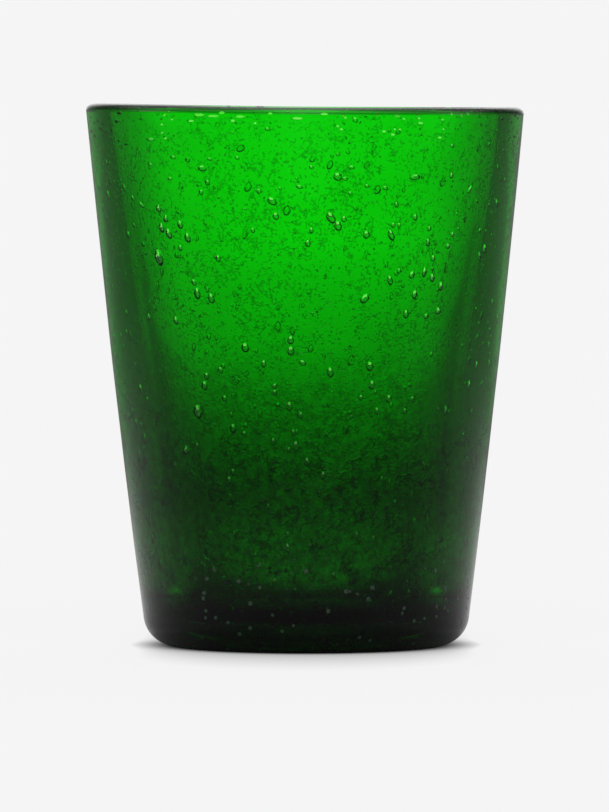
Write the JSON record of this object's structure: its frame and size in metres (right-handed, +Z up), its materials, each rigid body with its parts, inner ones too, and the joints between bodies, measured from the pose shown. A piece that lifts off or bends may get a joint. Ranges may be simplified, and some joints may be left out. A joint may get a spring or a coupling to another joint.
{
  "type": "drinking glass",
  "caption": "Heavy flared tumbler of deep green blown glass with small air bubbles through its wall, a rounded lip and a thick foot.",
  "frame": {"origin": "middle of the foot, on the surface that the glass stands on", "axes": "+Z up along the glass's axis of revolution"},
  "size_m": [0.0846, 0.0846, 0.105],
  "materials": {
    "green_glass": "fire-polished clear deep green glass with air bubbles in the wall"
  },
  "bodies": {
    "root": {"inner_gather": "green_glass", "outer_gather": "green_glass"}
  },
  "joints": []
}
